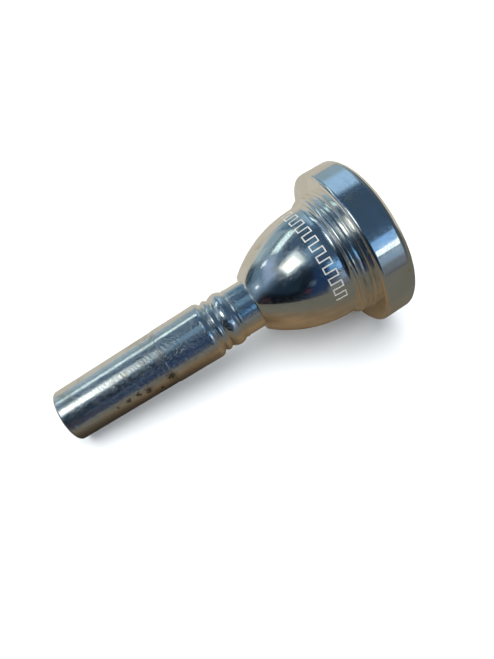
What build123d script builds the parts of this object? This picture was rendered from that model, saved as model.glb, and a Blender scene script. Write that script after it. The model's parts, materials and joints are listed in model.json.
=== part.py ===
from build123d import *
from math import asin, atan2, cos, degrees, hypot, radians, sin, sqrt
import os

# A trombone mouthpiece made of four turned pieces: shank sleeve, stem, cup and rim. All sizes are in millimetres.
# Each piece is drawn upright first, on the bore's own axis Z, from the shank's tip at z = 0 up to the rim.
# The whole is then laid down the way it rests on a table: on the rim's back edge and on the tip of the shank.

# --- shank sleeve: its outside taper fits the instrument's receiver
SLEEVE_LENGTH = 26.2
TIP_RADIUS = 6.33
SLEEVE_TAPER = 0.46          # how much the outside radius grows over the sleeve
TIP_ROUNDING = 0.6
SLEEVE_WALL = 0.78
SLEEVE_FIT = 0.05            # radial clearance between the sleeve and the nose
EDGE_BREAK = 0.12            # chamfer on the edges of each seam

# --- stem: nose, upper shank, beads and neck
NOSE_SETBACK = 0.5           # the nose ends this far inside the sleeve's tip
SHANK_STEP = 0.11            # how far the upper shank stands out past the sleeve
UPPER_SHANK_LENGTH = 11.0
UPPER_SHANK_TAPER = 0.17
SHOULDER_LENGTH = 1.8        # rounded end of the upper shank
NECK_DROP = 0.9              # from the upper shank's top down to the neck and the grooves between the beads
GROOVE_WIDTH = 0.3
SMALL_BEAD_LENGTH = 1.55
SMALL_BEAD_HEIGHT = 0.42
BIG_BEAD_LENGTH = 3.7
BIG_BEAD_HEIGHT = 0.68
STEP_LENGTH = 0.6
STEP_HEIGHT = 0.14
NECK_LENGTH = 4.4
SPIGOT_LENGTH = 6.0
SPIGOT_WALL = 1.5            # from the throat to the crest of the spigot's thread

# --- air passage
THROAT_RADIUS = 3.5
THROAT_LENGTH = 6.2          # straight length inside the stem
NOSE_WALL = 0.75             # metal round the backbore at the nose's end

# --- cup
CUP_MOUTH_RADIUS = 12.8
BOWL_DRAFT = 0.35            # how much narrower the bowl is where the rim ends
BOWL_SAG = 2.4               # how far the bowl's outline stands out from the straight line between its ends
ENTRY_WIDTH = 1.3            # rounded entry from the bowl into the throat
FLOOR_THICKNESS = 1.3        # metal between the stem's socket and the bowl
BASE_LIP = 1.0               # how far the bulb's base stands out from the neck
BULB_LENGTH = 19.1
COVE_LENGTH = 1.3
COVE_DEPTH = 0.65            # from the crest at the cup's seam down to the bulb
CREST_LENGTH = 0.2
RIM_SPIGOT_WALL = 1.15       # from the bowl to the crest of the rim's thread
RIM_SEAT_WIDTH = 1.25        # flat shoulder that the rim seats on

# --- rim
RIM_WIDTH = 6.92             # from the cup's mouth to the outer edge
RIM_CREST_INSET = 3.1        # from the cup's mouth to the highest ring of the face
RIM_BACK_ROUNDING = 0.9
RIM_BAND_LENGTH = 5.5
RIM_BAND_TAPER = 0.12        # how much the radius shrinks along the band
RIM_FRONT_ROUNDING = 1.6
RIM_CREST_HEIGHT = 2.6       # from the front rounding's centre to the crest
BITE_ROUNDING = 1.2
BITE_DEPTH = 2.0             # from the crest to the bite rounding's centre
RIM_ROOT_INSET = 0.05        # the rim starts this far inside the cup's crest
RIM_BEAD_LENGTH = 1.55
RIM_BEAD_HEIGHT = 0.5
RIM_STEP_LENGTH = 1.05
RIM_STEP_HEIGHT = 0.6
RIM_GROOVE_WIDTH = 0.2
RIM_GROOVE_DEPTH = 0.35
RIM_COVE = 0.4

# --- threads, drawn as rings, with crest clear of crest
RIM_THREAD_LENGTH = 5.5
THREAD_LAND = 1.2            # plain locating length before the thread starts
THREAD_PITCH = 0.8
THREAD_DEPTH = 0.28
THREAD_FIT = 0.05            # radial clearance between the crests
END_GAP = 0.1                # free space past the end of a spigot

# --- engraved key pattern round the bulb
KEY_CELLS = 10
KEY_PITCH_DEGREES = 11.4
KEY_CENTRE_DEGREES = 108.0   # from +X, turning about the bore's axis
KEY_HEIGHT = 2.8
KEY_BELOW_BULB_TOP = 1.2
KEY_LINE = 0.3
KEY_DEPTH = 0.12

# --- radii, worked out from the sizes above
SLEEVE_TOP_RADIUS = TIP_RADIUS + SLEEVE_TAPER
UPPER_SHANK_LOW_RADIUS = SLEEVE_TOP_RADIUS + SHANK_STEP
UPPER_SHANK_TOP_RADIUS = UPPER_SHANK_LOW_RADIUS + UPPER_SHANK_TAPER
NECK_RADIUS = UPPER_SHANK_TOP_RADIUS - NECK_DROP
SPIGOT_RADIUS = THROAT_RADIUS + SPIGOT_WALL
BOWL_TOP_RADIUS = CUP_MOUTH_RADIUS - BOWL_DRAFT
BOWL_FLOOR_RADIUS = THROAT_RADIUS + ENTRY_WIDTH
RIM_THREAD_RADIUS = BOWL_TOP_RADIUS + RIM_SPIGOT_WALL
CREST_RADIUS = RIM_THREAD_RADIUS + RIM_SEAT_WIDTH
BULB_RADIUS = CREST_RADIUS - COVE_DEPTH
BULB_RISE = BULB_RADIUS - (NECK_RADIUS + BASE_LIP)
BULB_CURVE = (BULB_LENGTH**2 + BULB_RISE**2) / (2 * BULB_RISE)
RIM_BEAD_ROOT = CREST_RADIUS - RIM_ROOT_INSET
RIM_STEP_RADIUS = RIM_BEAD_ROOT + RIM_STEP_HEIGHT
RIM_CREST_RADIUS = CUP_MOUTH_RADIUS + RIM_CREST_INSET
RIM_RADIUS = CUP_MOUTH_RADIUS + RIM_WIDTH

# --- places along the bore's axis, worked out from the lengths above
SHANK_TOP = SLEEVE_LENGTH + UPPER_SHANK_LENGTH
SMALL_BEAD_LOW = SHANK_TOP + SHOULDER_LENGTH + GROOVE_WIDTH
BIG_BEAD_LOW = SMALL_BEAD_LOW + SMALL_BEAD_LENGTH + GROOVE_WIDTH
STEP_LOW = BIG_BEAD_LOW + BIG_BEAD_LENGTH + GROOVE_WIDTH
CUP_BASE = STEP_LOW + STEP_LENGTH + NECK_LENGTH
SPIGOT_TOP = CUP_BASE + SPIGOT_LENGTH
BOWL_FLOOR = SPIGOT_TOP + END_GAP + FLOOR_THICKNESS
BULB_TOP = CUP_BASE + BULB_LENGTH
RIM_BASE = BULB_TOP + COVE_LENGTH + CREST_LENGTH
BOWL_TOP = RIM_BASE + RIM_THREAD_LENGTH
RIM_STEP_LOW = RIM_BASE + RIM_BEAD_LENGTH + RIM_GROOVE_WIDTH
RIM_BACK = RIM_STEP_LOW + RIM_STEP_LENGTH + RIM_GROOVE_WIDTH + RIM_COVE
BAND_TOP = RIM_BACK + RIM_BACK_ROUNDING + RIM_BAND_LENGTH
TOTAL_LENGTH = BAND_TOP + RIM_CREST_HEIGHT


def turned(start, *steps):
    """Turns an outline of (radius, height) points about Z. A step is a point to run straight to, or a pair of
    points, one to pass through and one to end at, for an arc."""
    edges = []
    here = start
    for step in steps + (start,):
        is_arc = isinstance(step[0], tuple)
        corners = (here,) + step if is_arc else (here, step)
        points = [Vector(radius, 0, height) for radius, height in corners]
        edges.append(ThreePointArc(*points) if is_arc else Line(*points))
        here = corners[-1]
    return revolve(make_face(edges), Axis.Z)


def arc_step(centre, radius, start, end):
    """The pair of points for an arc about a centre; angles in degrees, 0 outwards and 90 up the axis."""
    def on(angle):
        return (centre[0] + radius * cos(radians(angle)), centre[1] + radius * sin(radians(angle)))
    return on((start + end) / 2), on(end)


def bead_step(low, length, root, height):
    """An arc that rises from the root radius by the bead's height and back, over the bead's length."""
    return (root + height, low + length / 2), (root, low + length)


def dome_radius(height, width, rounding):
    """Radius of the broad arc that leaves the crest level and runs smoothly into a corner's rounding."""
    return (height**2 + width**2 - rounding**2) / (2 * (height - rounding))


def sagging_point(start, end, sag):
    """The middle of an arc from start down to end that bulges outwards by sag."""
    across, down = end[0] - start[0], end[1] - start[1]
    chord = hypot(across, down)
    return ((start[0] + end[0]) / 2 - sag * down / chord, (start[1] + end[1]) / 2 + sag * across / chord)


def thread_points(low, high, crest, root):
    """Points of a ring thread, from low to high, that starts and ends on its crest."""
    count = int((high - low) / THREAD_PITCH)
    points = []
    for turn in range(count):
        base = low + turn * THREAD_PITCH
        points += [(crest, base), (root, base + THREAD_PITCH / 2)]
    return tuple(points) + ((crest, low + count * THREAD_PITCH),)


def sleeve_outside(height):
    return TIP_RADIUS + (SLEEVE_TOP_RADIUS - TIP_RADIUS) * height / SLEEVE_LENGTH


def sleeve_bore(height):
    return sleeve_outside(height) - SLEEVE_WALL


def nose_outside(height):
    return sleeve_bore(height) - SLEEVE_FIT


def bulb_outside(height):
    return BULB_RADIUS - BULB_CURVE + sqrt(BULB_CURVE**2 - (BULB_TOP - height)**2)


def make_sleeve():
    rounding = arc_step((sleeve_outside(TIP_ROUNDING) - TIP_ROUNDING, TIP_ROUNDING), TIP_ROUNDING, -90, 0)
    return turned(
        (sleeve_bore(0) + EDGE_BREAK, 0),
        (sleeve_outside(TIP_ROUNDING) - TIP_ROUNDING, 0),
        rounding,
        (sleeve_outside(SLEEVE_LENGTH - EDGE_BREAK), SLEEVE_LENGTH - EDGE_BREAK),
        (SLEEVE_TOP_RADIUS - EDGE_BREAK, SLEEVE_LENGTH),
        (sleeve_bore(SLEEVE_LENGTH) + EDGE_BREAK, SLEEVE_LENGTH),
        (sleeve_bore(SLEEVE_LENGTH - EDGE_BREAK), SLEEVE_LENGTH - EDGE_BREAK),
        (sleeve_bore(EDGE_BREAK), EDGE_BREAK),
    )


def make_stem():
    nose_tip = nose_outside(NOSE_SETBACK)
    shoulder_middle = (NECK_RADIUS + NECK_DROP * sin(radians(50)), SHANK_TOP + SHOULDER_LENGTH * cos(radians(50)))
    thread_low = CUP_BASE + THREAD_LAND
    thread = thread_points(thread_low, SPIGOT_TOP - EDGE_BREAK, SPIGOT_RADIUS, SPIGOT_RADIUS - THREAD_DEPTH)
    return turned(
        (nose_tip - NOSE_WALL, NOSE_SETBACK),
        (nose_tip - EDGE_BREAK, NOSE_SETBACK),
        (nose_tip, NOSE_SETBACK + EDGE_BREAK),
        (nose_outside(SLEEVE_LENGTH), SLEEVE_LENGTH),
        (UPPER_SHANK_LOW_RADIUS - EDGE_BREAK, SLEEVE_LENGTH),
        (UPPER_SHANK_LOW_RADIUS, SLEEVE_LENGTH + EDGE_BREAK),
        (UPPER_SHANK_TOP_RADIUS, SHANK_TOP),
        (shoulder_middle, (NECK_RADIUS, SHANK_TOP + SHOULDER_LENGTH)),
        (NECK_RADIUS, SMALL_BEAD_LOW),
        bead_step(SMALL_BEAD_LOW, SMALL_BEAD_LENGTH, NECK_RADIUS, SMALL_BEAD_HEIGHT),
        (NECK_RADIUS, BIG_BEAD_LOW),
        bead_step(BIG_BEAD_LOW, BIG_BEAD_LENGTH, NECK_RADIUS, BIG_BEAD_HEIGHT),
        (NECK_RADIUS, STEP_LOW),
        (NECK_RADIUS + STEP_HEIGHT, STEP_LOW + EDGE_BREAK),
        (NECK_RADIUS + STEP_HEIGHT, STEP_LOW + STEP_LENGTH - EDGE_BREAK),
        (NECK_RADIUS, STEP_LOW + STEP_LENGTH),
        (NECK_RADIUS, CUP_BASE),
        (SPIGOT_RADIUS, CUP_BASE),
        *thread,
        (SPIGOT_RADIUS - EDGE_BREAK, SPIGOT_TOP),
        (THROAT_RADIUS, SPIGOT_TOP),
        (THROAT_RADIUS, SPIGOT_TOP - THROAT_LENGTH),
    )


def key_stroke(angle, low, sweep, height):
    """A cutter for one engraved stroke: sweep degrees round the bulb and height up it, KEY_DEPTH deep."""
    inner = [(bulb_outside(low) - KEY_DEPTH, low), (bulb_outside(low + height) - KEY_DEPTH, low + height)]
    outer = [(BULB_RADIUS + 1, low + height), (BULB_RADIUS + 1, low)]
    corners = [Vector(radius, 0, place) for radius, place in inner + outer]
    face = make_face(Polyline(*corners, close=True))
    return Rot(0, 0, angle) * revolve(face, Axis.Z, sweep)


def key_pattern():
    """A square wave round the bulb. Each cell has a post, a bar along the top and a second post; a foot joins it
    to the next cell."""
    line_degrees = degrees(KEY_LINE / BULB_RADIUS)
    low = BULB_TOP - KEY_BELOW_BULB_TOP - KEY_HEIGHT
    start = KEY_CENTRE_DEGREES - KEY_CELLS * KEY_PITCH_DEGREES / 2
    half = KEY_PITCH_DEGREES / 2
    strokes = []
    for cell in range(KEY_CELLS):
        angle = start + cell * KEY_PITCH_DEGREES
        strokes += [
            key_stroke(angle, low, line_degrees, KEY_HEIGHT),
            key_stroke(angle, low + KEY_HEIGHT - KEY_LINE, half + line_degrees, KEY_LINE),
            key_stroke(angle + half, low, line_degrees, KEY_HEIGHT),
        ]
        if cell < KEY_CELLS - 1:
            strokes.append(key_stroke(angle + half, low, half, KEY_LINE))
    return strokes


def make_cup():
    socket = SPIGOT_RADIUS + THREAD_FIT
    socket_thread = thread_points(
        CUP_BASE + THREAD_LAND, SPIGOT_TOP - EDGE_BREAK, socket, socket + THREAD_DEPTH)
    rim_thread = thread_points(
        RIM_BASE + THREAD_LAND, BOWL_TOP - EDGE_BREAK, RIM_THREAD_RADIUS, RIM_THREAD_RADIUS - THREAD_DEPTH)
    bulb_middle = CUP_BASE + BULB_LENGTH / 2
    cove_middle = (BULB_RADIUS + COVE_DEPTH * 0.3, BULB_TOP + COVE_LENGTH * 0.6)
    bowl_top = (BOWL_TOP_RADIUS, BOWL_TOP)
    bowl_floor = (BOWL_FLOOR_RADIUS, BOWL_FLOOR + FLOOR_THICKNESS / 2)
    throat_entry = (BOWL_FLOOR_RADIUS - ENTRY_WIDTH * 0.77, BOWL_FLOOR - FLOOR_THICKNESS / 3)
    body = turned(
        (socket, CUP_BASE),
        (bulb_outside(CUP_BASE), CUP_BASE),
        ((bulb_outside(bulb_middle), bulb_middle), (BULB_RADIUS, BULB_TOP)),
        (cove_middle, (CREST_RADIUS, BULB_TOP + COVE_LENGTH)),
        (CREST_RADIUS, RIM_BASE - EDGE_BREAK),
        (CREST_RADIUS - EDGE_BREAK, RIM_BASE),
        (RIM_THREAD_RADIUS, RIM_BASE),
        *rim_thread,
        (RIM_THREAD_RADIUS - EDGE_BREAK, BOWL_TOP),
        bowl_top,
        (sagging_point(bowl_top, bowl_floor, BOWL_SAG), bowl_floor),
        (throat_entry, (THROAT_RADIUS, SPIGOT_TOP + END_GAP)),
        (socket, SPIGOT_TOP + END_GAP),
        *reversed(socket_thread),
    )
    return body - key_pattern()


def make_rim():
    socket = RIM_THREAD_RADIUS + THREAD_FIT
    thread = thread_points(RIM_BASE + THREAD_LAND, BOWL_TOP - EDGE_BREAK, socket, socket + THREAD_DEPTH)
    front_radius = RIM_RADIUS - RIM_BAND_TAPER
    corner = (front_radius - RIM_FRONT_ROUNDING, BAND_TOP)
    bite = (CUP_MOUTH_RADIUS + BITE_ROUNDING, TOTAL_LENGTH - BITE_DEPTH)
    outer_dome = dome_radius(RIM_CREST_HEIGHT, corner[0] - RIM_CREST_RADIUS, RIM_FRONT_ROUNDING)
    inner_dome = dome_radius(BITE_DEPTH, RIM_CREST_RADIUS - bite[0], BITE_ROUNDING)
    outer_centre = (RIM_CREST_RADIUS, TOTAL_LENGTH - outer_dome)
    inner_centre = (RIM_CREST_RADIUS, TOTAL_LENGTH - inner_dome)
    outer_turn = degrees(atan2(corner[1] - outer_centre[1], corner[0] - outer_centre[0]))
    inner_turn = degrees(atan2(bite[1] - inner_centre[1], bite[0] - inner_centre[0]))
    back_centre = (RIM_RADIUS - RIM_BACK_ROUNDING, RIM_BACK + RIM_BACK_ROUNDING)
    groove_root = RIM_STEP_RADIUS - RIM_GROOVE_DEPTH
    step_top = RIM_STEP_LOW + RIM_STEP_LENGTH
    cove_centre = (RIM_STEP_RADIUS + RIM_COVE, step_top + RIM_GROOVE_WIDTH)
    return turned(
        (socket, RIM_BASE),
        (RIM_BEAD_ROOT - EDGE_BREAK, RIM_BASE),
        (RIM_BEAD_ROOT, RIM_BASE + EDGE_BREAK),
        bead_step(RIM_BASE + EDGE_BREAK, RIM_BEAD_LENGTH - EDGE_BREAK, RIM_BEAD_ROOT, RIM_BEAD_HEIGHT),
        (RIM_BEAD_ROOT, RIM_STEP_LOW),
        (RIM_STEP_RADIUS, RIM_STEP_LOW),
        (RIM_STEP_RADIUS, step_top),
        (groove_root, step_top + RIM_GROOVE_WIDTH / 2),
        (RIM_STEP_RADIUS, step_top + RIM_GROOVE_WIDTH),
        arc_step(cove_centre, RIM_COVE, 180, 90),
        (back_centre[0], RIM_BACK),
        arc_step(back_centre, RIM_BACK_ROUNDING, -90, 0),
        (front_radius, BAND_TOP),
        arc_step(corner, RIM_FRONT_ROUNDING, 0, outer_turn),
        arc_step(outer_centre, outer_dome, outer_turn, 90),
        arc_step(inner_centre, inner_dome, 90, inner_turn),
        arc_step(bite, BITE_ROUNDING, inner_turn, 180),
        (BOWL_TOP_RADIUS, BOWL_TOP + END_GAP),
        (socket, BOWL_TOP + END_GAP),
        *reversed(thread),
    )


def lean_degrees():
    """How far the bore's axis leans up when the tip's rounding and the rim's back rounding both touch a table."""
    rise = (RIM_RADIUS - RIM_BACK_ROUNDING) - (sleeve_outside(TIP_ROUNDING) - TIP_ROUNDING)
    run = (RIM_BACK + RIM_BACK_ROUNDING) - TIP_ROUNDING
    return degrees(atan2(rise, run) + asin((RIM_BACK_ROUNDING - TIP_ROUNDING) / hypot(rise, run)))


def resting_place(pieces):
    """Lays the pieces down with the rim towards -Y, and centres them on the origin, standing on z = 0."""
    laid = Rot(90 - lean_degrees(), 0, 0)
    box = Compound(children=[laid * piece for piece in pieces]).bounding_box()
    return Pos(-box.center().X, -box.center().Y, -box.min.Z) * laid


PIECES = {
    "shank_sleeve": make_sleeve(),
    "stem": make_stem(),
    "cup": make_cup(),
    "rim": make_rim(),
}

place = resting_place(PIECES.values())
os.makedirs("parts", exist_ok=True)
for name, piece in PIECES.items():
    export_step(place * piece, f"parts/{name}.step")
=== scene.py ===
import json
import math

import bmesh
import bpy
from mathutils import Matrix, Vector

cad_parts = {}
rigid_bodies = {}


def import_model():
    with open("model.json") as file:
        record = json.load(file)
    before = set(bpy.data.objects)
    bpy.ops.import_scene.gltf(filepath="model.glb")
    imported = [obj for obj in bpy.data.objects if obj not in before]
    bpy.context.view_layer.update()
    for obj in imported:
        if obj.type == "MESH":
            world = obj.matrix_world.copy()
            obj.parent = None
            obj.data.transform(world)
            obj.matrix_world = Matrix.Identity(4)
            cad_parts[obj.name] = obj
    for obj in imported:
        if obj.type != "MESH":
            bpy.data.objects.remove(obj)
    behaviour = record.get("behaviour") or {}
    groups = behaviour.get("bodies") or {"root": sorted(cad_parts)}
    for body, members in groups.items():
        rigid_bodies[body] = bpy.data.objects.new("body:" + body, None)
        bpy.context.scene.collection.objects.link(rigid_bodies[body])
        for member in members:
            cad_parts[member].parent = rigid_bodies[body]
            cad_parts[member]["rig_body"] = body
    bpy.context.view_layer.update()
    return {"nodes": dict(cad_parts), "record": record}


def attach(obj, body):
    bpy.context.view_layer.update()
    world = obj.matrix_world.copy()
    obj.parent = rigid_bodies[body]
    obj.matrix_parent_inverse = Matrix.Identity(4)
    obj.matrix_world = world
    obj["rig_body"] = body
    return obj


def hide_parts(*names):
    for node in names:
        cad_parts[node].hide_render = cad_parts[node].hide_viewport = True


# A silver-plated trombone mouthpiece lying on a pale table: shank sleeve, stem, cup and rim.
# Each piece is turned about the bore's axis Z from its half section, with the shank's tip at z = 0, and its
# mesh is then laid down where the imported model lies. Sizes are in metres, unless a comment says otherwise.

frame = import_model()

MM = 0.001

# --- shank sleeve
SLEEVE_LENGTH = 26.2 * MM
TIP_RADIUS = 6.33 * MM
SLEEVE_TOP_RADIUS = 6.79 * MM
TIP_ROUNDING = 0.6 * MM
SLEEVE_WALL = 0.78 * MM
SLEEVE_FIT = 0.05 * MM
EDGE_BREAK = 0.12 * MM

# --- stem
NOSE_SETBACK = 0.5 * MM
NOSE_WALL = 0.75 * MM
UPPER_SHANK_LENGTH = 11.0 * MM
UPPER_SHANK_LOW_RADIUS = 6.9 * MM
UPPER_SHANK_TOP_RADIUS = 7.07 * MM
SHOULDER_LENGTH = 1.8 * MM
SHOULDER_TURN = math.radians(50)
NECK_RADIUS = 6.17 * MM
GROOVE_WIDTH = 0.3 * MM
SMALL_BEAD_LENGTH = 1.55 * MM
SMALL_BEAD_HEIGHT = 0.42 * MM
BIG_BEAD_LENGTH = 3.7 * MM
BIG_BEAD_HEIGHT = 0.68 * MM
STEP_LENGTH = 0.6 * MM
STEP_HEIGHT = 0.14 * MM
NECK_LENGTH = 4.4 * MM
SPIGOT_LENGTH = 6.0 * MM
SPIGOT_RADIUS = 5.0 * MM
THROAT_RADIUS = 3.5 * MM
THROAT_LENGTH = 6.2 * MM

# --- cup
CUP_MOUTH_RADIUS = 12.8 * MM
BOWL_TOP_RADIUS = 12.45 * MM
BOWL_FLOOR_RADIUS = 4.8 * MM
BOWL_SAG = 2.4 * MM
ENTRY_WIDTH = 1.3 * MM
FLOOR_THICKNESS = 1.3 * MM
BASE_LIP = 1.0 * MM
ENTRY_MIDDLE = (0.77, 1 / 3)     # where the throat's entry bends: shares of its width and of the floor
BULB_LENGTH = 19.1 * MM
BULB_RADIUS = 14.2 * MM
COVE_LENGTH = 1.3 * MM
COVE_DEPTH = 0.65 * MM
COVE_MIDDLE = (0.3, 0.6)         # where the cove bends: shares of its depth and length
CREST_RADIUS = 14.85 * MM
CREST_LENGTH = 0.2 * MM

# --- rim
RIM_RADIUS = 19.72 * MM
RIM_CREST_RADIUS = 15.9 * MM
RIM_BACK_ROUNDING = 0.9 * MM
RIM_BAND_LENGTH = 5.5 * MM
RIM_BAND_TAPER = 0.12 * MM
RIM_FRONT_ROUNDING = 1.6 * MM
RIM_CREST_HEIGHT = 2.6 * MM
BITE_ROUNDING = 1.2 * MM
BITE_DEPTH = 2.0 * MM
RIM_BEAD_ROOT = 14.8 * MM
RIM_BEAD_LENGTH = 1.55 * MM
RIM_BEAD_HEIGHT = 0.5 * MM
RIM_STEP_RADIUS = 15.4 * MM
RIM_STEP_LENGTH = 1.05 * MM
RIM_GROOVE_WIDTH = 0.2 * MM
RIM_GROOVE_DEPTH = 0.35 * MM
RIM_COVE = 0.4 * MM

# --- ring threads
RIM_THREAD_RADIUS = 13.6 * MM
RIM_THREAD_LENGTH = 5.5 * MM
THREAD_LAND = 1.2 * MM
THREAD_PITCH = 0.8 * MM
THREAD_DEPTH = 0.28 * MM
THREAD_FIT = 0.05 * MM
END_GAP = 0.1 * MM

# --- engraved key pattern
KEY_CELLS = 10
KEY_PITCH = math.radians(11.4)
KEY_CENTRE = math.radians(108)
KEY_START = KEY_CENTRE - KEY_CELLS * KEY_PITCH / 2
KEY_HEIGHT = 2.8 * MM
KEY_BELOW_BULB_TOP = 1.2 * MM
KEY_LINE = 0.3 * MM
KEY_DEPTH = 0.12 * MM
KEY_WALL_SLOPE = 0.04 * MM

# --- how finely the pieces are turned
EDGE_ROUNDING = 0.05 * MM
EDGE_SEGMENTS = 4
CORNER_ANGLE = math.radians(12)
LONG_RUN = 1.3 * MM
HOLDING_RING = 0.03 * MM
ARC_STEP = math.radians(5)
ARC_LENGTH = 0.6 * MM
ARC_LEAST_STEPS = 4
TURN_STEPS = 224
MERGE_DISTANCE = 0.0005 * MM
SHARP_ANGLE = math.radians(35)
RINGS_BELOW_KEY = 30
RINGS_IN_KEY_GAP = 5
RINGS_ABOVE_KEY = 3

# --- marks on the plate: places in millimetres up the bore's axis. The shank is handled more than the cup.
SEAM_DIRT_START = 17
SEAM_DIRT_FULL = 26
SEAM_DIRT_FADE = 26.5
SEAM_DIRT_END = 27.5
HANDLED_TO = 42
UNHANDLED_FROM = 52
UNHANDLED_SHARE = 0.12
FRONT_WEAR_START = 79.3
FRONT_WEAR_FULL = 80.4

# Spots: how far up the axis, the angle round it in degrees, how far out, and the size. Lengths are millimetres.
THUMB_STAIN = (76.8, 96, 19.6, 1.7)
PITS = [
    (11.8, 159, 6.5, 0.4),
    (14.7, 158, 6.6, 0.7),
    (17.1, 157, 6.6, 0.8),
    (19.6, 163, 6.7, 1.0),
    (22.4, 176, 6.7, 0.7),
    (25.4, 160, 6.8, 1.1),
]

# --- colours
CLEAN_SILVER = (0.95, 0.94, 0.91)
SMUDGED_SILVER = (0.9, 0.88, 0.83)
YELLOW_TARNISH = (0.62, 0.54, 0.38)
BROWN_DIRT = (0.36, 0.3, 0.24)
BLACK_PIT = (0.12, 0.1, 0.09)
THUMB_GREASE = (0.62, 0.58, 0.46)
BARE_BRASS = (0.95, 0.74, 0.42)
PALE_CUT = (0.9, 0.88, 0.82)
SHADED_CUT = (0.7, 0.68, 0.62)
WHITE_TABLE = (0.86, 0.86, 0.85)
LIGHT_WOOD = (0.24, 0.165, 0.09)
DARK_WOOD = (0.16, 0.112, 0.065)
# The far wood's grey is a painted reflection of the dark room.
FAR_WOOD_GREYED_BY_REFLECTION = (0.135, 0.135, 0.115)
SHANK_SHADE = (0.035, 0.028, 0.02)
SUNLIT_CREAM = (0.52, 0.49, 0.42)
LOW_ROOM = (0.07, 0.08, 0.09)
HIGH_ROOM = (0.04, 0.075, 0.13)
BACKDROP = (0.85, 0.86, 0.86)

# --- the studio's panels: what each one is, its azimuth and elevation, its half width and half height, its
# colour, and how soft its edges are as a share of its size. Angles are in degrees. Azimuth 0 is +X and 90 is
# +Y, the way that the tip points. A panel hides the ones above it in the list.
STUDIO = [
    ("far wall", 0, 10, 38, 30, (0.24, 0.35, 0.43), 0.4),
    ("pale foot of the far wall", 18, 2, 14, 5, (0.5, 0.52, 0.52), 0.6),
    ("blue ceiling", 90, 80, 14, 8, (0.12, 0.23, 0.35), 0.5),

    ("wall beyond the tip", 72, 22, 26, 26, (0.1, 0.17, 0.25), 0.4),
    ("blue top of that wall", 66, 36, 20, 8, (0.26, 0.36, 0.52), 0.5),
    ("glow round the tip lamp", 76, 18, 9, 5, (0.22, 0.32, 0.42), 0.6),
    ("tip lamp", 78, 18, 3, 2, (0.9, 1.0, 1.05), 0.3),
    ("dark corner", 44, 5, 12, 7, (0.02, 0.05, 0.075), 0.5),
    ("pale corner", 28, 13, 7, 5, (0.34, 0.46, 0.53), 0.5),

    ("dark wall", 134, 16, 30, 28, (0.012, 0.026, 0.044), 0.4),
    ("top of the dark wall", 144, 45, 9, 11, (0.01, 0.018, 0.03), 0.5),
    ("post on the dark wall", 151, 24, 7, 17, (0.006, 0.012, 0.02), 0.5),
    ("black foot of the dark wall", 124, 5, 24, 12, (0.0012, 0.0025, 0.007), 0.4),
    ("dull red patch by the floor", 110, 7, 5, 4, (0.03, 0.012, 0.016), 0.5),
    ("deep blue curtain", 168, 28, 9, 24, (0.012, 0.03, 0.08), 0.3),
    ("faint blue gap", 158, 27, 3, 4, (0.07, 0.11, 0.16), 0.5),

    ("foot of the near wall", 200, 10, 16, 8, (0.13, 0.15, 0.18), 0.4),
    ("near wall", 203, 20, 14, 6, (0.2, 0.3, 0.42), 0.4),
    ("near window", 203, 40, 13, 7, (0.22, 0.46, 0.85), 0.2),
    ("bright bar of the near window", 205, 31, 10, 3.5, (1.2, 1.4, 1.45), 0.25),
    ("blue edge of the near window", 182, 44, 4, 8, (0.14, 0.34, 0.6), 0.4),
    ("grey foot of the curtain", 182, 5, 5, 5, (0.15, 0.16, 0.15), 0.4),

    ("tall pane of the far window", -18, 38, 7, 15, (0.32, 0.52, 0.76), 0.3),
    ("dark post of the far window", 0, 36, 5, 24, (0.05, 0.12, 0.2), 0.4),
    ("dark head of the far window", 24, 54, 16, 7, (0.045, 0.08, 0.14), 0.5),
    ("bright pane of the far window", 22, 38, 13, 5, (0.85, 1.1, 1.15), 0.2),
    ("dark sill of the far window", 20, 28, 12, 2, (0.1, 0.16, 0.2), 0.5),

    ("glow round the roof light", 90, 62, 15, 9, (0.24, 0.36, 0.44), 0.4),
    ("frame of the roof light", 88, 64, 12, 5.5, (0.62, 0.71, 0.73), 0.3),
    ("beam by the roof light", 45, 72, 7, 5, (0.03, 0.065, 0.12), 0.4),
    ("roof light", 94, 56.5, 12, 9, (0.8, 0.95, 0.98), 0.4),
    ("bright middle of the roof light", 94, 56, 8, 6.5, (2.4, 2.5, 2.5), 0.5),

    ("dull red patch on the dark wall", 156, 15, 3, 3, (0.07, 0.02, 0.04), 0.5),
    ("small lamp beside the far window", 47, 27, 3, 3, (1.0, 1.2, 1.3), 0.4),
]

# --- table and camera
TABLE_HALF = 1.5
BENCH_LIFT = 0.02 * MM
CAMERA_SENSOR = 36               # sensor and lens in millimetres
CAMERA_LENS = 27.587
CAMERA_NEAREST = 0.005
CAMERA_PLACE = (-0.05795, 0.02166, 0.116)
CAMERA_TURN = (29.679, 2.44, -119.397)

# --- places along the bore's axis
SHANK_TOP = SLEEVE_LENGTH + UPPER_SHANK_LENGTH
SMALL_BEAD_LOW = SHANK_TOP + SHOULDER_LENGTH + GROOVE_WIDTH
BIG_BEAD_LOW = SMALL_BEAD_LOW + SMALL_BEAD_LENGTH + GROOVE_WIDTH
STEP_LOW = BIG_BEAD_LOW + BIG_BEAD_LENGTH + GROOVE_WIDTH
CUP_BASE = STEP_LOW + STEP_LENGTH + NECK_LENGTH
SPIGOT_TOP = CUP_BASE + SPIGOT_LENGTH
BOWL_FLOOR = SPIGOT_TOP + END_GAP + FLOOR_THICKNESS
BULB_TOP = CUP_BASE + BULB_LENGTH
RIM_BASE = BULB_TOP + COVE_LENGTH + CREST_LENGTH
BOWL_TOP = RIM_BASE + RIM_THREAD_LENGTH
RIM_STEP_LOW = RIM_BASE + RIM_BEAD_LENGTH + RIM_GROOVE_WIDTH
RIM_BACK = RIM_STEP_LOW + RIM_STEP_LENGTH + RIM_GROOVE_WIDTH + RIM_COVE
BAND_TOP = RIM_BACK + RIM_BACK_ROUNDING + RIM_BAND_LENGTH
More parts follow.
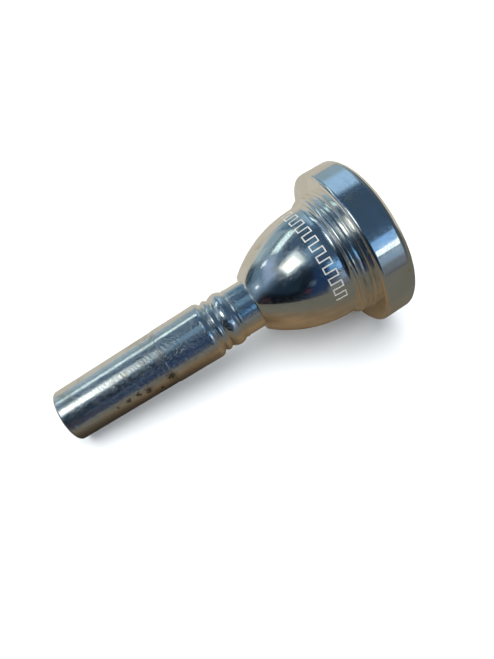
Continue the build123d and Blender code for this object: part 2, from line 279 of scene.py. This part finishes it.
TOTAL_LENGTH = BAND_TOP + RIM_CREST_HEIGHT
BULB_RISE = BULB_RADIUS - NECK_RADIUS - BASE_LIP
BULB_CURVE = (BULB_LENGTH**2 + BULB_RISE**2) / (2 * BULB_RISE)

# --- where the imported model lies: its tip, and its bore's axis towards the rim
TIP_MOUNT = next(m for m in frame["record"]["mounts"] if m["name"] == "shank_taper")
TIP = Vector(TIP_MOUNT["pos_m"])
BORE_AXIS = -Vector(TIP_MOUNT["axis"])
LAY_ANGLE = math.acos(BORE_AXIS.z)
LAID = Matrix.Translation(TIP) @ Matrix.Rotation(LAY_ANGLE, 4, "X")


# ---------------------------------------------------------------- outlines
def arc_points(start, middle, end):
    """Points after the start of the arc that runs through the middle to the end."""
    a, b, c = (complex(*point) for point in (start, middle, end))
    w = (c - a) / (b - a)
    centre = a + (b - a) * (w - abs(w) ** 2) / (2j * w.imag)
    first, second = (b - centre) / (a - centre), (c - centre) / (b - centre)
    sweep = math.atan2(first.imag, first.real) + math.atan2(second.imag, second.real)
    radius = abs(a - centre)
    by_angle, by_length = abs(sweep) / ARC_STEP, abs(sweep) * radius / ARC_LENGTH
    count = max(ARC_LEAST_STEPS, math.ceil(by_angle), math.ceil(by_length))
    turn = [complex(math.cos(sweep * i / count), math.sin(sweep * i / count)) for i in range(1, count + 1)]
    points = [centre + (a - centre) * t for t in turn]
    return [(p.real, p.imag) for p in points[:-1]] + [tuple(end)]


def outline(start, *steps):
    """All the points of a half section. A step is a point, or a pair of points for an arc through and to."""
    points = [start]
    for step in steps:
        if isinstance(step[0], tuple):
            points += arc_points(points[-1], *step)
        else:
            points.append(step)
    return points


def arc_step(centre, radius, start, end):
    """The pair of points for an arc about a centre; angles in degrees, 0 outwards and 90 up the axis."""
    def on(angle):
        turn = math.radians(angle)
        return (centre[0] + radius * math.cos(turn), centre[1] + radius * math.sin(turn))
    return on((start + end) / 2), on(end)


def bead_step(low, length, root, height):
    """The pair of points for a bead that stands this high on its root."""
    return (root + height, low + length / 2), (root, low + length)


def dome_radius(height, width, rounding):
    """Radius of the broad arc that leaves the crest level and runs smoothly into a corner's rounding."""
    return (height**2 + width**2 - rounding**2) / (2 * (height - rounding))


def sagging_point(start, end, sag):
    """The point that lies this far to the side of the middle of a straight line."""
    across, down = end[0] - start[0], end[1] - start[1]
    chord = math.hypot(across, down)
    return ((start[0] + end[0]) / 2 - sag * down / chord, (start[1] + end[1]) / 2 + sag * across / chord)


def thread_points(low, high, crest, root):
    """A thread drawn as rings: crest and root by turns, from low up to the last crest below high."""
    count = int((high - low) / THREAD_PITCH)
    points = []
    for turn in range(count):
        base = low + turn * THREAD_PITCH
        points += [(crest, base), (root, base + THREAD_PITCH / 2)]
    return points + [(crest, low + count * THREAD_PITCH)]


def sleeve_outside(height):
    return TIP_RADIUS + (SLEEVE_TOP_RADIUS - TIP_RADIUS) * height / SLEEVE_LENGTH


def sleeve_bore(height):
    return sleeve_outside(height) - SLEEVE_WALL


def nose_outside(height):
    return sleeve_bore(height) - SLEEVE_FIT


def bulb_outside(height):
    return BULB_RADIUS - BULB_CURVE + math.sqrt(BULB_CURVE**2 - (BULB_TOP - height) ** 2)


# ---------------------------------------------------------------- turning
def corners_of(points):
    """Indices of the points where the outline turns sharply."""
    found = []
    for i, here in enumerate(points):
        before, after = Vector(points[i - 1]), Vector(points[(i + 1) % len(points)])
        come, go = Vector(here) - before, after - Vector(here)
        if come.angle(go) > CORNER_ANGLE:
            found.append(i)
    return found


def drawn(points):
    """A bmesh that holds the closed outline in the XZ plane. Its sharp corners are slightly rounded, and a
    point close to each end of a long run keeps the run's shading straight."""
    bm = bmesh.new()
    verts = [bm.verts.new((radius, 0, height)) for radius, height in points]
    for i, vert in enumerate(verts):
        bm.edges.new((verts[i - 1], vert))
    corners = [verts[i] for i in corners_of(points)]
    bmesh.ops.bevel(bm, geom=corners, offset=EDGE_ROUNDING, offset_type="OFFSET", segments=EDGE_SEGMENTS,
                    profile=0.5, affect="VERTICES", material=-1)
    for edge in [edge for edge in bm.edges if edge.calc_length() > LONG_RUN]:
        for vert in edge.verts[:]:
            bmesh.utils.edge_split(edge, vert, HOLDING_RING / edge.calc_length())
    return bm


def turn(bm, sweeps):
    """Turns the outline about Z through each sweep, a pair of angle and steps. A lone sweep is a full one."""
    ring = bm.verts[:] + bm.edges[:]
    for angle, steps in sweeps:
        made = bmesh.ops.spin(bm, geom=ring, cent=(0, 0, 0), axis=(0, 0, 1), angle=angle, steps=steps,
                              use_merge=len(sweeps) == 1)
        ring = made["geom_last"]
    bmesh.ops.remove_doubles(bm, verts=bm.verts, dist=MERGE_DISTANCE)
    bmesh.ops.recalc_face_normals(bm, faces=bm.faces)


def finished(bm, node, materials):
    """Lays the turned mesh down in its place and makes it the piece that stands for its CAD node."""
    bm.transform(LAID)
    mesh = bpy.data.meshes.new(node + "_turned")
    bm.to_mesh(mesh)
    bm.free()
    for material in materials:
        mesh.materials.append(material)
    mesh.polygons.foreach_set("use_smooth", [True] * len(mesh.polygons))
    mesh.set_sharp_from_angle(angle=SHARP_ANGLE)
    piece = bpy.data.objects.new(node + "_turned", mesh)
    bpy.context.scene.collection.objects.link(piece)
    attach(piece, frame["nodes"][node]["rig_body"])
    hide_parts(node)


# ---------------------------------------------------------------- pieces
def sleeve_outline():
    rounding = arc_step((sleeve_outside(TIP_ROUNDING) - TIP_ROUNDING, TIP_ROUNDING), TIP_ROUNDING, -90, 0)
    return outline(
        (sleeve_bore(0) + EDGE_BREAK, 0),
        (sleeve_outside(TIP_ROUNDING) - TIP_ROUNDING, 0),
        rounding,
        (sleeve_outside(SLEEVE_LENGTH - EDGE_BREAK), SLEEVE_LENGTH - EDGE_BREAK),
        (SLEEVE_TOP_RADIUS - EDGE_BREAK, SLEEVE_LENGTH),
        (sleeve_bore(SLEEVE_LENGTH) + EDGE_BREAK, SLEEVE_LENGTH),
        (sleeve_bore(SLEEVE_LENGTH - EDGE_BREAK), SLEEVE_LENGTH - EDGE_BREAK),
        (sleeve_bore(EDGE_BREAK), EDGE_BREAK),
    )


def stem_outline():
    nose_tip = nose_outside(NOSE_SETBACK)
    shoulder_middle = (NECK_RADIUS + (UPPER_SHANK_TOP_RADIUS - NECK_RADIUS) * math.sin(SHOULDER_TURN),
                       SHANK_TOP + SHOULDER_LENGTH * math.cos(SHOULDER_TURN))
    thread_low = CUP_BASE + THREAD_LAND
    thread = thread_points(thread_low, SPIGOT_TOP - EDGE_BREAK, SPIGOT_RADIUS, SPIGOT_RADIUS - THREAD_DEPTH)
    return outline(
        (nose_tip - NOSE_WALL, NOSE_SETBACK),
        (nose_tip - EDGE_BREAK, NOSE_SETBACK),
        (nose_tip, NOSE_SETBACK + EDGE_BREAK),
        (nose_outside(SLEEVE_LENGTH), SLEEVE_LENGTH),
        (UPPER_SHANK_LOW_RADIUS - EDGE_BREAK, SLEEVE_LENGTH),
        (UPPER_SHANK_LOW_RADIUS, SLEEVE_LENGTH + EDGE_BREAK),
        (UPPER_SHANK_TOP_RADIUS, SHANK_TOP),
        (shoulder_middle, (NECK_RADIUS, SHANK_TOP + SHOULDER_LENGTH)),
        (NECK_RADIUS, SMALL_BEAD_LOW),
        bead_step(SMALL_BEAD_LOW, SMALL_BEAD_LENGTH, NECK_RADIUS, SMALL_BEAD_HEIGHT),
        (NECK_RADIUS, BIG_BEAD_LOW),
        bead_step(BIG_BEAD_LOW, BIG_BEAD_LENGTH, NECK_RADIUS, BIG_BEAD_HEIGHT),
        (NECK_RADIUS, STEP_LOW),
        (NECK_RADIUS + STEP_HEIGHT, STEP_LOW + EDGE_BREAK),
        (NECK_RADIUS + STEP_HEIGHT, STEP_LOW + STEP_LENGTH - EDGE_BREAK),
        (NECK_RADIUS, STEP_LOW + STEP_LENGTH),
        (NECK_RADIUS, CUP_BASE),
        (SPIGOT_RADIUS, CUP_BASE),
        *thread,
        (SPIGOT_RADIUS - EDGE_BREAK, SPIGOT_TOP),
        (THROAT_RADIUS, SPIGOT_TOP),
        (THROAT_RADIUS, SPIGOT_TOP - THROAT_LENGTH),
    )


def key_columns():
    """The angles where the four columns of a cell start and end: post, gap, second post and foot."""
    line = KEY_LINE / BULB_RADIUS
    return [0, line, KEY_PITCH / 2, KEY_PITCH / 2 + line, KEY_PITCH]


def key_rows():
    """The heights where the three rows of a cell start and end: foot, gap and top bar."""
    low = BULB_TOP - KEY_BELOW_BULB_TOP - KEY_HEIGHT
    high = low + KEY_HEIGHT
    return [low, low + KEY_LINE, high - KEY_LINE, high]


def in_stroke(column, row, cell):
    """Whether this field of the square wave's grid is engraved."""
    post = column in (0, 2)
    top_bar = row == 2 and column < 3
    foot = row == 0 and column == 3 and cell < KEY_CELLS - 1
    return post or top_bar or foot


def engraved_faces(bm):
    """The faces of the bulb that the key pattern takes in, found by the angle and height of their centres."""
    columns = key_columns()
    rows = key_rows()
    found = []
    for face in bm.faces:
        middle = face.calc_center_median()
        if not rows[0] < middle.z < rows[-1] or math.hypot(middle.x, middle.y) < BOWL_TOP_RADIUS:
            continue
        angle = (math.atan2(middle.y, middle.x) - KEY_START) % (2 * math.pi)
        cell = int(angle / KEY_PITCH)
        if cell >= KEY_CELLS:
            continue
        column = max(i for i, edge in enumerate(columns[:-1]) if edge <= angle - cell * KEY_PITCH)
        row = max(i for i, edge in enumerate(rows[:-1]) if edge <= middle.z)
        if in_stroke(column, row, cell):
            found.append(face)
    return found


def engrave(bm):
    """Sinks the key pattern into the bulb and gives its floors and walls the second material."""
    faces = engraved_faces(bm)
    walls = bmesh.ops.inset_region(bm, faces=faces, thickness=KEY_WALL_SLOPE, depth=-KEY_DEPTH,
                                   use_boundary=True, use_even_offset=True)["faces"]
    for face in faces + walls:
        face.material_index = 1


def bulb_points():
    """The bulb's outside from its base to its widest ring, with a ring at each edge of the key pattern."""
    rows = key_rows()
    below = [CUP_BASE + (rows[0] - CUP_BASE) * i / RINGS_BELOW_KEY for i in range(RINGS_BELOW_KEY)]
    above = [rows[-1] + (BULB_TOP - rows[-1]) * i / RINGS_ABOVE_KEY for i in range(1, RINGS_ABOVE_KEY + 1)]
    gap = [rows[1] + (rows[2] - rows[1]) * i / RINGS_IN_KEY_GAP for i in range(1, RINGS_IN_KEY_GAP)]
    heights = sorted(below + rows + gap + above)
    return [(bulb_outside(height), height) for height in heights]


def cup_outline():
    socket = SPIGOT_RADIUS + THREAD_FIT
    socket_thread = thread_points(
        CUP_BASE + THREAD_LAND, SPIGOT_TOP - EDGE_BREAK, socket, socket + THREAD_DEPTH)
    rim_thread = thread_points(
        RIM_BASE + THREAD_LAND, BOWL_TOP - EDGE_BREAK, RIM_THREAD_RADIUS, RIM_THREAD_RADIUS - THREAD_DEPTH)
    cove_middle = (BULB_RADIUS + COVE_DEPTH * COVE_MIDDLE[0], BULB_TOP + COVE_LENGTH * COVE_MIDDLE[1])
    bowl_top = (BOWL_TOP_RADIUS, BOWL_TOP)
    bowl_floor = (BOWL_FLOOR_RADIUS, BOWL_FLOOR + FLOOR_THICKNESS / 2)
    throat_entry = (BOWL_FLOOR_RADIUS - ENTRY_WIDTH * ENTRY_MIDDLE[0],
                    BOWL_FLOOR - FLOOR_THICKNESS * ENTRY_MIDDLE[1])
    return outline(
        (socket, CUP_BASE),
        *bulb_points(),
        (cove_middle, (CREST_RADIUS, BULB_TOP + COVE_LENGTH)),
        (CREST_RADIUS, RIM_BASE - EDGE_BREAK),
        (CREST_RADIUS - EDGE_BREAK, RIM_BASE),
        (RIM_THREAD_RADIUS, RIM_BASE),
        *rim_thread,
        (RIM_THREAD_RADIUS - EDGE_BREAK, BOWL_TOP),
        bowl_top,
        (sagging_point(bowl_top, bowl_floor, BOWL_SAG), bowl_floor),
        (throat_entry, (THROAT_RADIUS, SPIGOT_TOP + END_GAP)),
        (socket, SPIGOT_TOP + END_GAP),
        *reversed(socket_thread),
    )


def rim_outline():
    socket = RIM_THREAD_RADIUS + THREAD_FIT
    thread = thread_points(RIM_BASE + THREAD_LAND, BOWL_TOP - EDGE_BREAK, socket, socket + THREAD_DEPTH)
    front_radius = RIM_RADIUS - RIM_BAND_TAPER
    corner = (front_radius - RIM_FRONT_ROUNDING, BAND_TOP)
    bite = (CUP_MOUTH_RADIUS + BITE_ROUNDING, TOTAL_LENGTH - BITE_DEPTH)
    outer_dome = dome_radius(RIM_CREST_HEIGHT, corner[0] - RIM_CREST_RADIUS, RIM_FRONT_ROUNDING)
    inner_dome = dome_radius(BITE_DEPTH, RIM_CREST_RADIUS - bite[0], BITE_ROUNDING)
    outer_centre = (RIM_CREST_RADIUS, TOTAL_LENGTH - outer_dome)
    inner_centre = (RIM_CREST_RADIUS, TOTAL_LENGTH - inner_dome)
    outer_turn = math.degrees(math.atan2(corner[1] - outer_centre[1], corner[0] - outer_centre[0]))
    inner_turn = math.degrees(math.atan2(bite[1] - inner_centre[1], bite[0] - inner_centre[0]))
    back_centre = (RIM_RADIUS - RIM_BACK_ROUNDING, RIM_BACK + RIM_BACK_ROUNDING)
    groove_root = RIM_STEP_RADIUS - RIM_GROOVE_DEPTH
    step_top = RIM_STEP_LOW + RIM_STEP_LENGTH
    cove_centre = (RIM_STEP_RADIUS + RIM_COVE, step_top + RIM_GROOVE_WIDTH)
    return outline(
        (socket, RIM_BASE),
        (RIM_BEAD_ROOT - EDGE_BREAK, RIM_BASE),
        (RIM_BEAD_ROOT, RIM_BASE + EDGE_BREAK),
        bead_step(RIM_BASE + EDGE_BREAK, RIM_BEAD_LENGTH - EDGE_BREAK, RIM_BEAD_ROOT, RIM_BEAD_HEIGHT),
        (RIM_BEAD_ROOT, RIM_STEP_LOW),
        (RIM_STEP_RADIUS, RIM_STEP_LOW),
        (RIM_STEP_RADIUS, step_top),
        (groove_root, step_top + RIM_GROOVE_WIDTH / 2),
        (RIM_STEP_RADIUS, step_top + RIM_GROOVE_WIDTH),
        arc_step(cove_centre, RIM_COVE, 180, 90),
        (back_centre[0], RIM_BACK),
        arc_step(back_centre, RIM_BACK_ROUNDING, -90, 0),
        (front_radius, BAND_TOP),
        arc_step(corner, RIM_FRONT_ROUNDING, 0, outer_turn),
        arc_step(outer_centre, outer_dome, outer_turn, 90),
        arc_step(inner_centre, inner_dome, 90, inner_turn),
        arc_step(bite, BITE_ROUNDING, inner_turn, 180),
        (BOWL_TOP_RADIUS, BOWL_TOP + END_GAP),
        (socket, BOWL_TOP + END_GAP),
        *reversed(thread),
    )


def make_piece(node, points, material):
    """A piece that is the same all the way round."""
    bm = drawn(points)
    turn(bm, [(2 * math.pi, TURN_STEPS)])
    finished(bm, node, [material])


def make_cup(material, engraved_material):
    """The cup is turned in sweeps that end where the key pattern's strokes do, and then engraved."""
    bm = drawn(cup_outline())
    bm.transform(Matrix.Rotation(KEY_START, 4, "Z"))
    columns = key_columns()
    widths = [after - before for before, after in zip(columns, columns[1:])]
    step = 2 * math.pi / TURN_STEPS
    sweeps = [(width, max(1, round(width / step))) for width in widths] * KEY_CELLS
    plain_side = 2 * math.pi - KEY_CELLS * KEY_PITCH
    turn(bm, sweeps + [(plain_side, round(plain_side / step))])
    engrave(bm)
    finished(bm, "cup", [material, engraved_material])


# ---------------------------------------------------------------- materials
def new_material(name):
    material = bpy.data.materials.new(name)
    material.use_nodes = True
    return material, material.node_tree, material.node_tree.nodes["Principled BSDF"]


def add(tree, kind, inputs=None, **settings):
    """A new node with these settings; an input is a value, or the output that feeds it."""
    made = tree.nodes.new(kind)
    for name, value in settings.items():
        setattr(made, name, value)
    for name, value in (inputs or {}).items():
        if isinstance(value, bpy.types.NodeSocket):
            tree.links.new(value, made.inputs[name])
        else:
            made.inputs[name].default_value = value
    return made


def on_bore(tree, grain, turn=(0, 0, 0)):
    """The place on the piece in its upright frame, along the bore, in units of the grain's three sizes."""
    place = add(tree, "ShaderNodeTexCoord").outputs["Object"]
    lying = {"Vector": place, "Location": TIP, "Rotation": (LAY_ANGLE, 0, 0)}
    upright = add(tree, "ShaderNodeMapping", lying, vector_type="TEXTURE").outputs[0]
    scaled = {"Vector": upright, "Rotation": turn, "Scale": grain}
    return add(tree, "ShaderNodeMapping", scaled, vector_type="TEXTURE").outputs[0]


def bend(tree, place, size, amount):
    """Shifts the place about, so that straight marks curl."""
    noise = add(tree, "ShaderNodeTexNoise", {"Vector": place, "Scale": size, "Detail": 1.0})
    middle = (0.5, 0.5, 0.5)
    away = add(tree, "ShaderNodeVectorMath", {0: noise.outputs["Color"], 1: middle}, operation="SUBTRACT")
    moved = add(tree, "ShaderNodeVectorMath", {0: away.outputs[0], "Scale": amount}, operation="SCALE")
    return add(tree, "ShaderNodeVectorMath", {0: place, 1: moved.outputs[0]}, operation="ADD").outputs[0]


def between(tree, value, low, high, out_low=0.0, out_high=1.0):
    """Runs smoothly from one output to the other as the value goes from low to high."""
    ends = {"Value": value, "From Min": low, "From Max": high, "To Min": out_low, "To Max": out_high}
    return add(tree, "ShaderNodeMapRange", ends, interpolation_type="SMOOTHSTEP").outputs[0]


def math_node(tree, operation, first, second):
    return add(tree, "ShaderNodeMath", {0: first, 1: second}, operation=operation).outputs[0]


def times(tree, first, second):
    return math_node(tree, "MULTIPLY", first, second)


def plus(tree, first, second):
    return math_node(tree, "ADD", first, second)


def most(tree, masks):
    """The strongest of several masks at each place."""
    together = masks[0]
    for mask in masks[1:]:
        together = math_node(tree, "MAXIMUM", together, mask)
    return together


def mixed(tree, factor, first, second):
    """The second colour over the first, as far as the factor says. A colour is a socket or three values."""
    node = add(tree, "ShaderNodeMix", {0: factor}, data_type="RGBA")
    first_colour, second_colour = node.inputs[6], node.inputs[7]
    for socket, colour in ((first_colour, first), (second_colour, second)):
        if isinstance(colour, bpy.types.NodeSocket):
            tree.links.new(colour, socket)
        else:
            socket.default_value = (*colour, 1)
    return node.outputs[2]


def noise_at(tree, place, detail):
    return add(tree, "ShaderNodeTexNoise", {"Vector": place, "Scale": 1.0, "Detail": detail}).outputs["Fac"]


def blot(tree, size, low, high):
    """Soft patches of about this size, 0 to 1."""
    return between(tree, noise_at(tree, on_bore(tree, (size,) * 3), 3.0), low, high)


def hairlines(tree, turn, length, width, low, high):
    """Fine scratches that run one way and curl a little."""
    place = bend(tree, on_bore(tree, (length, width, width), turn), 0.7, 0.5)
    return between(tree, noise_at(tree, place, 1.0), low, high)


def turning_marks(tree, width):
    """Fine rings round the piece, broken up as they go round."""
    return between(tree, noise_at(tree, on_bore(tree, (9 * MM, 9 * MM, width)), 2.0), 0.45, 0.7)


def spot(tree, height, angle, radius, size):
    """An uneven patch with its middle at this height, angle and distance from the axis."""
    place = bend(tree, on_bore(tree, (MM,) * 3), 1.8, 2.2 * size)
    middle = (radius * math.cos(math.radians(angle)), radius * math.sin(math.radians(angle)), height)
    away = add(tree, "ShaderNodeVectorMath", {0: place, 1: middle}, operation="DISTANCE").outputs["Value"]
    return between(tree, away, size, 0.5 * size)


def wiping_scratches(tree):
    """Hairlines from a cloth, in three directions that cross."""
    return most(tree, [hairlines(tree, (0.4, 0.9, 0.5), 4 * MM, 0.2 * MM, 0.6, 0.66),
                       hairlines(tree, (1.3, 0.3, 2.1), 3 * MM, 0.16 * MM, 0.6, 0.66),
                       hairlines(tree, (0.2, 2.2, 1.2), 6 * MM, 0.22 * MM, 0.6, 0.68)])


def polishing_swirls(tree):
    """Short curled strokes left by polishing."""
    strokes = on_bore(tree, (2.4 * MM, 0.42 * MM, 0.5 * MM), (0.9, 0.5, 0.3))
    return noise_at(tree, bend(tree, strokes, 0.4, 0.8), 1.0)


def dirt_at_seam(tree, height):
    """Dirt that gathers towards the top of the sleeve and ends just past it."""
    gathered = times(tree, between(tree, height, SEAM_DIRT_START, SEAM_DIRT_FULL),
                     blot(tree, 3 * MM, 0.45, 0.65))
    return times(tree, gathered, between(tree, height, SEAM_DIRT_END, SEAM_DIRT_FADE))


def wear_at_front(tree, height):
    """Small worn patches at the rim's front edge, where the brass shows."""
    return times(tree, between(tree, height, FRONT_WEAR_START, FRONT_WEAR_FULL),
                 blot(tree, 0.9 * MM, 0.6, 0.66))


def silver_plate(name, swirl_depth, hairline_depth, ring_depth, dullness, tarnish):
    """Polished silver plate: swirls, hairlines, turning marks, smudges and stains, with dirt and pits on the
    shank and wear on the rim. The depths are in thousandths of a millimetre."""
    material, tree, shader = new_material(name)
    shader.inputs["Metallic"].default_value = 1
    height = add(tree, "ShaderNodeSeparateXYZ", {0: on_bore(tree, (MM,) * 3)}).outputs["Z"]
    handled = between(tree, height, HANDLED_TO, UNHANDLED_FROM, 1.0, UNHANDLED_SHARE)
    scratches = wiping_scratches(tree)
    smudges = blot(tree, 7 * MM, 0.42, 0.62)
    stains = blot(tree, 5 * MM, 0.6, 0.74)
    seam_dirt = dirt_at_seam(tree, height)
    pits = most(tree, [spot(tree, *pit) for pit in PITS])
    thumb_stain = spot(tree, *THUMB_STAIN)

    colour = mixed(tree, smudges, CLEAN_SILVER, SMUDGED_SILVER)
    for mask, strength, mark in ((stains, tarnish, YELLOW_TARNISH), (seam_dirt, 0.45, BROWN_DIRT),
                                 (pits, 0.85, BLACK_PIT), (thumb_stain, 0.6, THUMB_GREASE),
                                 (wear_at_front(tree, height), 0.7, BARE_BRASS)):
        colour = mixed(tree, times(tree, mask, strength), colour, mark)
    tree.links.new(colour, shader.inputs["Base Color"])

    rough = times(tree, scratches, 0.08)
    grime = most(tree, [seam_dirt, pits, thumb_stain])
    for mask, strength in ((smudges, 0.02), (stains, 0.1), (grime, 0.25)):
        rough = plus(tree, rough, times(tree, mask, strength))
    tree.links.new(plus(tree, rough, dullness), shader.inputs["Roughness"])

    waves = noise_at(tree, on_bore(tree, (5 * MM,) * 3), 1.0)
    swirled = times(tree, times(tree, polishing_swirls(tree), swirl_depth), handled)
    scratched = times(tree, times(tree, scratches, plus(tree, handled, 0.3)), hairline_depth)
    turned = times(tree, turning_marks(tree, 0.14 * MM), ring_depth)
    relief = plus(tree, times(tree, waves, 14.0), swirled)
    relief = math_node(tree, "SUBTRACT", relief, scratched)
    relief = math_node(tree, "SUBTRACT", relief, turned)
    bump = add(tree, "ShaderNodeBump", {"Height": relief, "Strength": 1.0, "Distance": 0.001 * MM})
    tree.links.new(bump.outputs[0], shader.inputs["Normal"])
    return material


def cut_silver():
    """The floors and walls of the engraved strokes: pale and unpolished."""
    material, tree, shader = new_material("engraved_silver")
    shader.inputs["Metallic"].default_value = 0.6
    tooling = turning_marks(tree, 0.05 * MM)
    tree.links.new(between(tree, tooling, 0, 1, 0.35, 0.5), shader.inputs["Roughness"])
    tree.links.new(mixed(tree, tooling, PALE_CUT, SHADED_CUT), shader.inputs["Base Color"])
    return material


polished = silver_plate("silver_plate", swirl_depth=20.0, hairline_depth=8.0, ring_depth=0.4, dullness=0.01,
                        tarnish=0.4)
worn = silver_plate("worn_silver_plate", swirl_depth=20.0, hairline_depth=9.0, ring_depth=4.0, dullness=0.02,
                    tarnish=0.5)
cut = cut_silver()

make_piece("shank_sleeve", sleeve_outline(), worn)
make_piece("stem", stem_outline(), polished)
make_cup(polished, cut)
make_piece("rim", rim_outline(), polished)


# ---------------------------------------------------------------- table, light and camera
def stage_plane(name, half, height, material):
    """A level square plane that is part of the set and not of the piece."""
    bm = bmesh.new()
    bmesh.ops.create_grid(bm, x_segments=1, y_segments=1, size=half)
    bm.transform(Matrix.Translation((0, 0, height)))
    mesh = bpy.data.meshes.new(name)
    bm.to_mesh(mesh)
    bm.free()
    mesh.materials.append(material)
    plane = bpy.data.objects.new(name, mesh)
    bpy.context.scene.collection.objects.link(plane)
    return plane


def pale_table():
    material, _, shader = new_material("pale_table")
    shader.inputs["Base Color"].default_value = (*WHITE_TABLE, 1)
    shader.inputs["Roughness"].default_value = 0.7
    return material


def glowing_painted_bench():
    """What the metal sees below it, painted into a plane that glows though it is no lamp: wood, greyed further
    off by a painted reflection of the dark room, painted shadow close to the piece and under the shank, and
    painted sunlit cream from the piece's middle out towards +X."""
    material = bpy.data.materials.new("glowing_painted_bench")
    material.use_nodes = True
    tree = material.node_tree
    tree.nodes.clear()
    place = add(tree, "ShaderNodeTexCoord").outputs["Object"]
    distance = add(tree, "ShaderNodeVectorMath", {0: place}, operation="LENGTH").outputs["Value"]
    table_axes = add(tree, "ShaderNodeSeparateXYZ", {0: place})
    across, along = table_axes.outputs["X"], table_axes.outputs["Y"]
    grain = add(tree, "ShaderNodeTexNoise", {"Vector": place, "Scale": 60.0, "Detail": 4.0}).outputs["Fac"]
    wood = mixed(tree, between(tree, grain, 0.35, 0.65), LIGHT_WOOD, DARK_WOOD)
    # Further off, the wood turns grey: a painted reflection of the dark room in the table's varnish.
    colour = mixed(tree, between(tree, distance, 0.02, 0.07), wood, FAR_WOOD_GREYED_BY_REFLECTION)
    # Painted contact shadow: the colour goes towards black where the piece is close above the bench.
    openness = add(tree, "ShaderNodeAmbientOcclusion", {"Distance": 0.01}, samples=8).outputs["AO"]
    colour = mixed(tree, between(tree, openness, 0, 1, 0.2, 1.0), (0, 0, 0), colour)
    # Painted shadow under the shank, in the shank shade colour.
    shank_shadow_mask = times(tree, between(tree, across, -0.03, -0.006), between(tree, along, -0.012, 0.018))
    colour = mixed(tree, shank_shadow_mask, colour, SHANK_SHADE)
    colour = mixed(tree, between(tree, across, -0.004, 0.01), colour, SUNLIT_CREAM)
    # The bench glows instead of being lit, so its whole colour is painted light.
    glow = add(tree, "ShaderNodeEmission", {"Color": colour})
    output = add(tree, "ShaderNodeOutputMaterial")
    tree.links.new(glow.outputs[0], output.inputs["Surface"])
    return material


table = stage_plane("pale_table", TABLE_HALF, 0, pale_table())
table.visible_glossy = False
# The glowing bench is hidden from the camera and shows only as a painted reflection in the metal.
bench = stage_plane("glowing_painted_bench", TABLE_HALF, BENCH_LIFT, glowing_painted_bench())
bench.visible_camera = False
bench.visible_diffuse = False
bench.visible_shadow = False


def soft_light(name, place, size, power):
    """A broad light for the table that the metal doesn't mirror."""
    light = bpy.data.lights.new(name, "AREA")
    light.size = size
    light.energy = power
    made = bpy.data.objects.new(name, light)
    made.location = place
    made.rotation_euler = (-Vector(place)).to_track_quat("-Z", "Y").to_euler()
    made.visible_glossy = False
    bpy.context.scene.collection.objects.link(made)


soft_light("overhead", place=(0.25, 0.1, 1.2), size=1.4, power=26)
soft_light("side", place=(-0.9, -0.3, 0.9), size=1.0, power=8)


def panel(tree, behind, azimuth, elevation, half_width, half_height, colour, blur):
    """A soft-edged panel in front of what is behind it, seen in its own direction and not opposite to it."""
    direction = add(tree, "ShaderNodeTexCoord").outputs["Generated"]
    turn_to = (0, -math.radians(elevation), math.radians(azimuth))
    size = (1, math.sin(math.radians(half_width)), math.sin(math.radians(half_height)))
    seen = add(tree, "ShaderNodeMapping", {"Vector": direction, "Rotation": turn_to, "Scale": size},
               vector_type="TEXTURE").outputs[0]
    from_middle = add(tree, "ShaderNodeVectorMath", {0: seen}, operation="ABSOLUTE").outputs[0]
    sides = add(tree, "ShaderNodeSeparateXYZ", {0: from_middle})
    edge = math_node(tree, "MAXIMUM", sides.outputs["Y"], sides.outputs["Z"])
    inside = between(tree, edge, 1 + blur, 1 - blur)
    ahead = add(tree, "ShaderNodeSeparateXYZ", {0: seen}).outputs["X"]
    return mixed(tree, times(tree, inside, math_node(tree, "GREATER_THAN", ahead, 0)), behind, colour)


def studio():
    """The room that the metal mirrors. The camera itself sees a plain pale backdrop."""
    world = bpy.data.worlds.new("studio")
    world.use_nodes = True
    tree = world.node_tree
    direction = add(tree, "ShaderNodeTexCoord").outputs["Generated"]
    height = add(tree, "ShaderNodeSeparateXYZ", {0: direction}).outputs["Z"]
    room = mixed(tree, between(tree, height, 0, 0.8), LOW_ROOM, HIGH_ROOM)
    for label, *shape in STUDIO:
        room = panel(tree, room, *shape)
        room.node.label = label
    camera_ray = add(tree, "ShaderNodeLightPath").outputs["Is Camera Ray"]
    tree.links.new(mixed(tree, camera_ray, room, BACKDROP), tree.nodes["Background"].inputs["Color"])
    return world


bpy.context.scene.world = studio()
bpy.context.scene.view_settings.view_transform = "Standard"

camera_data = bpy.data.cameras.new("camera")
camera_data.sensor_width = CAMERA_SENSOR
camera_data.lens = CAMERA_LENS
camera_data.clip_start = CAMERA_NEAREST
camera = bpy.data.objects.new("camera", camera_data)
camera.location = CAMERA_PLACE
camera.rotation_euler = [math.radians(angle) for angle in CAMERA_TURN]
bpy.context.scene.collection.objects.link(camera)
bpy.context.scene.camera = camera
